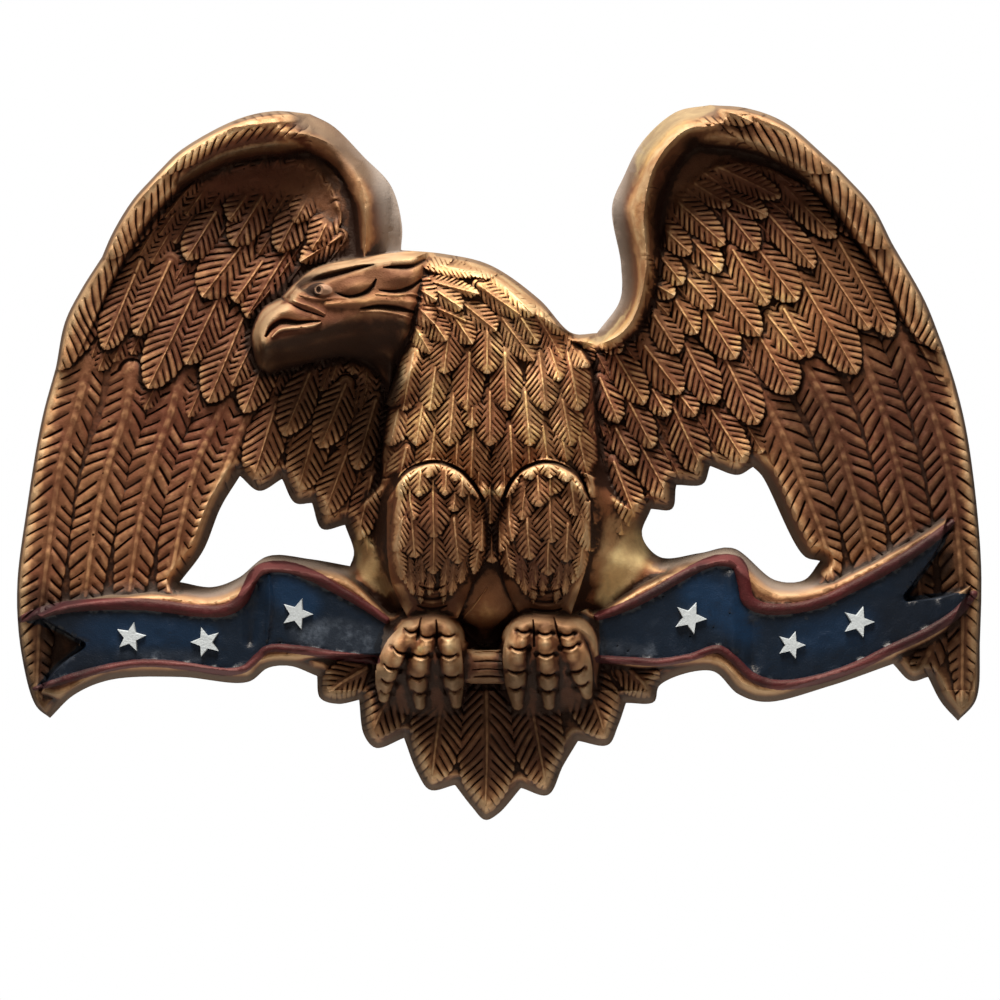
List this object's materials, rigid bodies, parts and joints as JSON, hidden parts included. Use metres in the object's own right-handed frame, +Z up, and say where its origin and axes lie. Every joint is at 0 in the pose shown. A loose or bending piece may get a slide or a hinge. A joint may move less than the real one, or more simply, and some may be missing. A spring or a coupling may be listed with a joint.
{
  "type": "eagle wall plaque",
  "caption": "Cast wall plaque of an eagle with raised wings, feathered legs and a fan tail, gripping a starred ribbon, with open gaps between the wings and the ribbon.",
  "frame": {"origin": "on the flat back, behind the breast, where the plaque lies against the wall", "axes": "+Z up, +Y out of the flat back into the wall, +X to the right as the plaque is looked at; the relief stands out towards -Y"},
  "size_m": [0.4598, 0.0818, 0.3409],
  "materials": {
    "painted_casting": "satin bronze-brown paint with copper and gold highlights over a grey cast plaster, with a navy ribbon, red ribbon edges and off-white stars"
  },
  "bodies": {
    "root": {"eagle_casting": "painted_casting"}
  },
  "joints": []
}
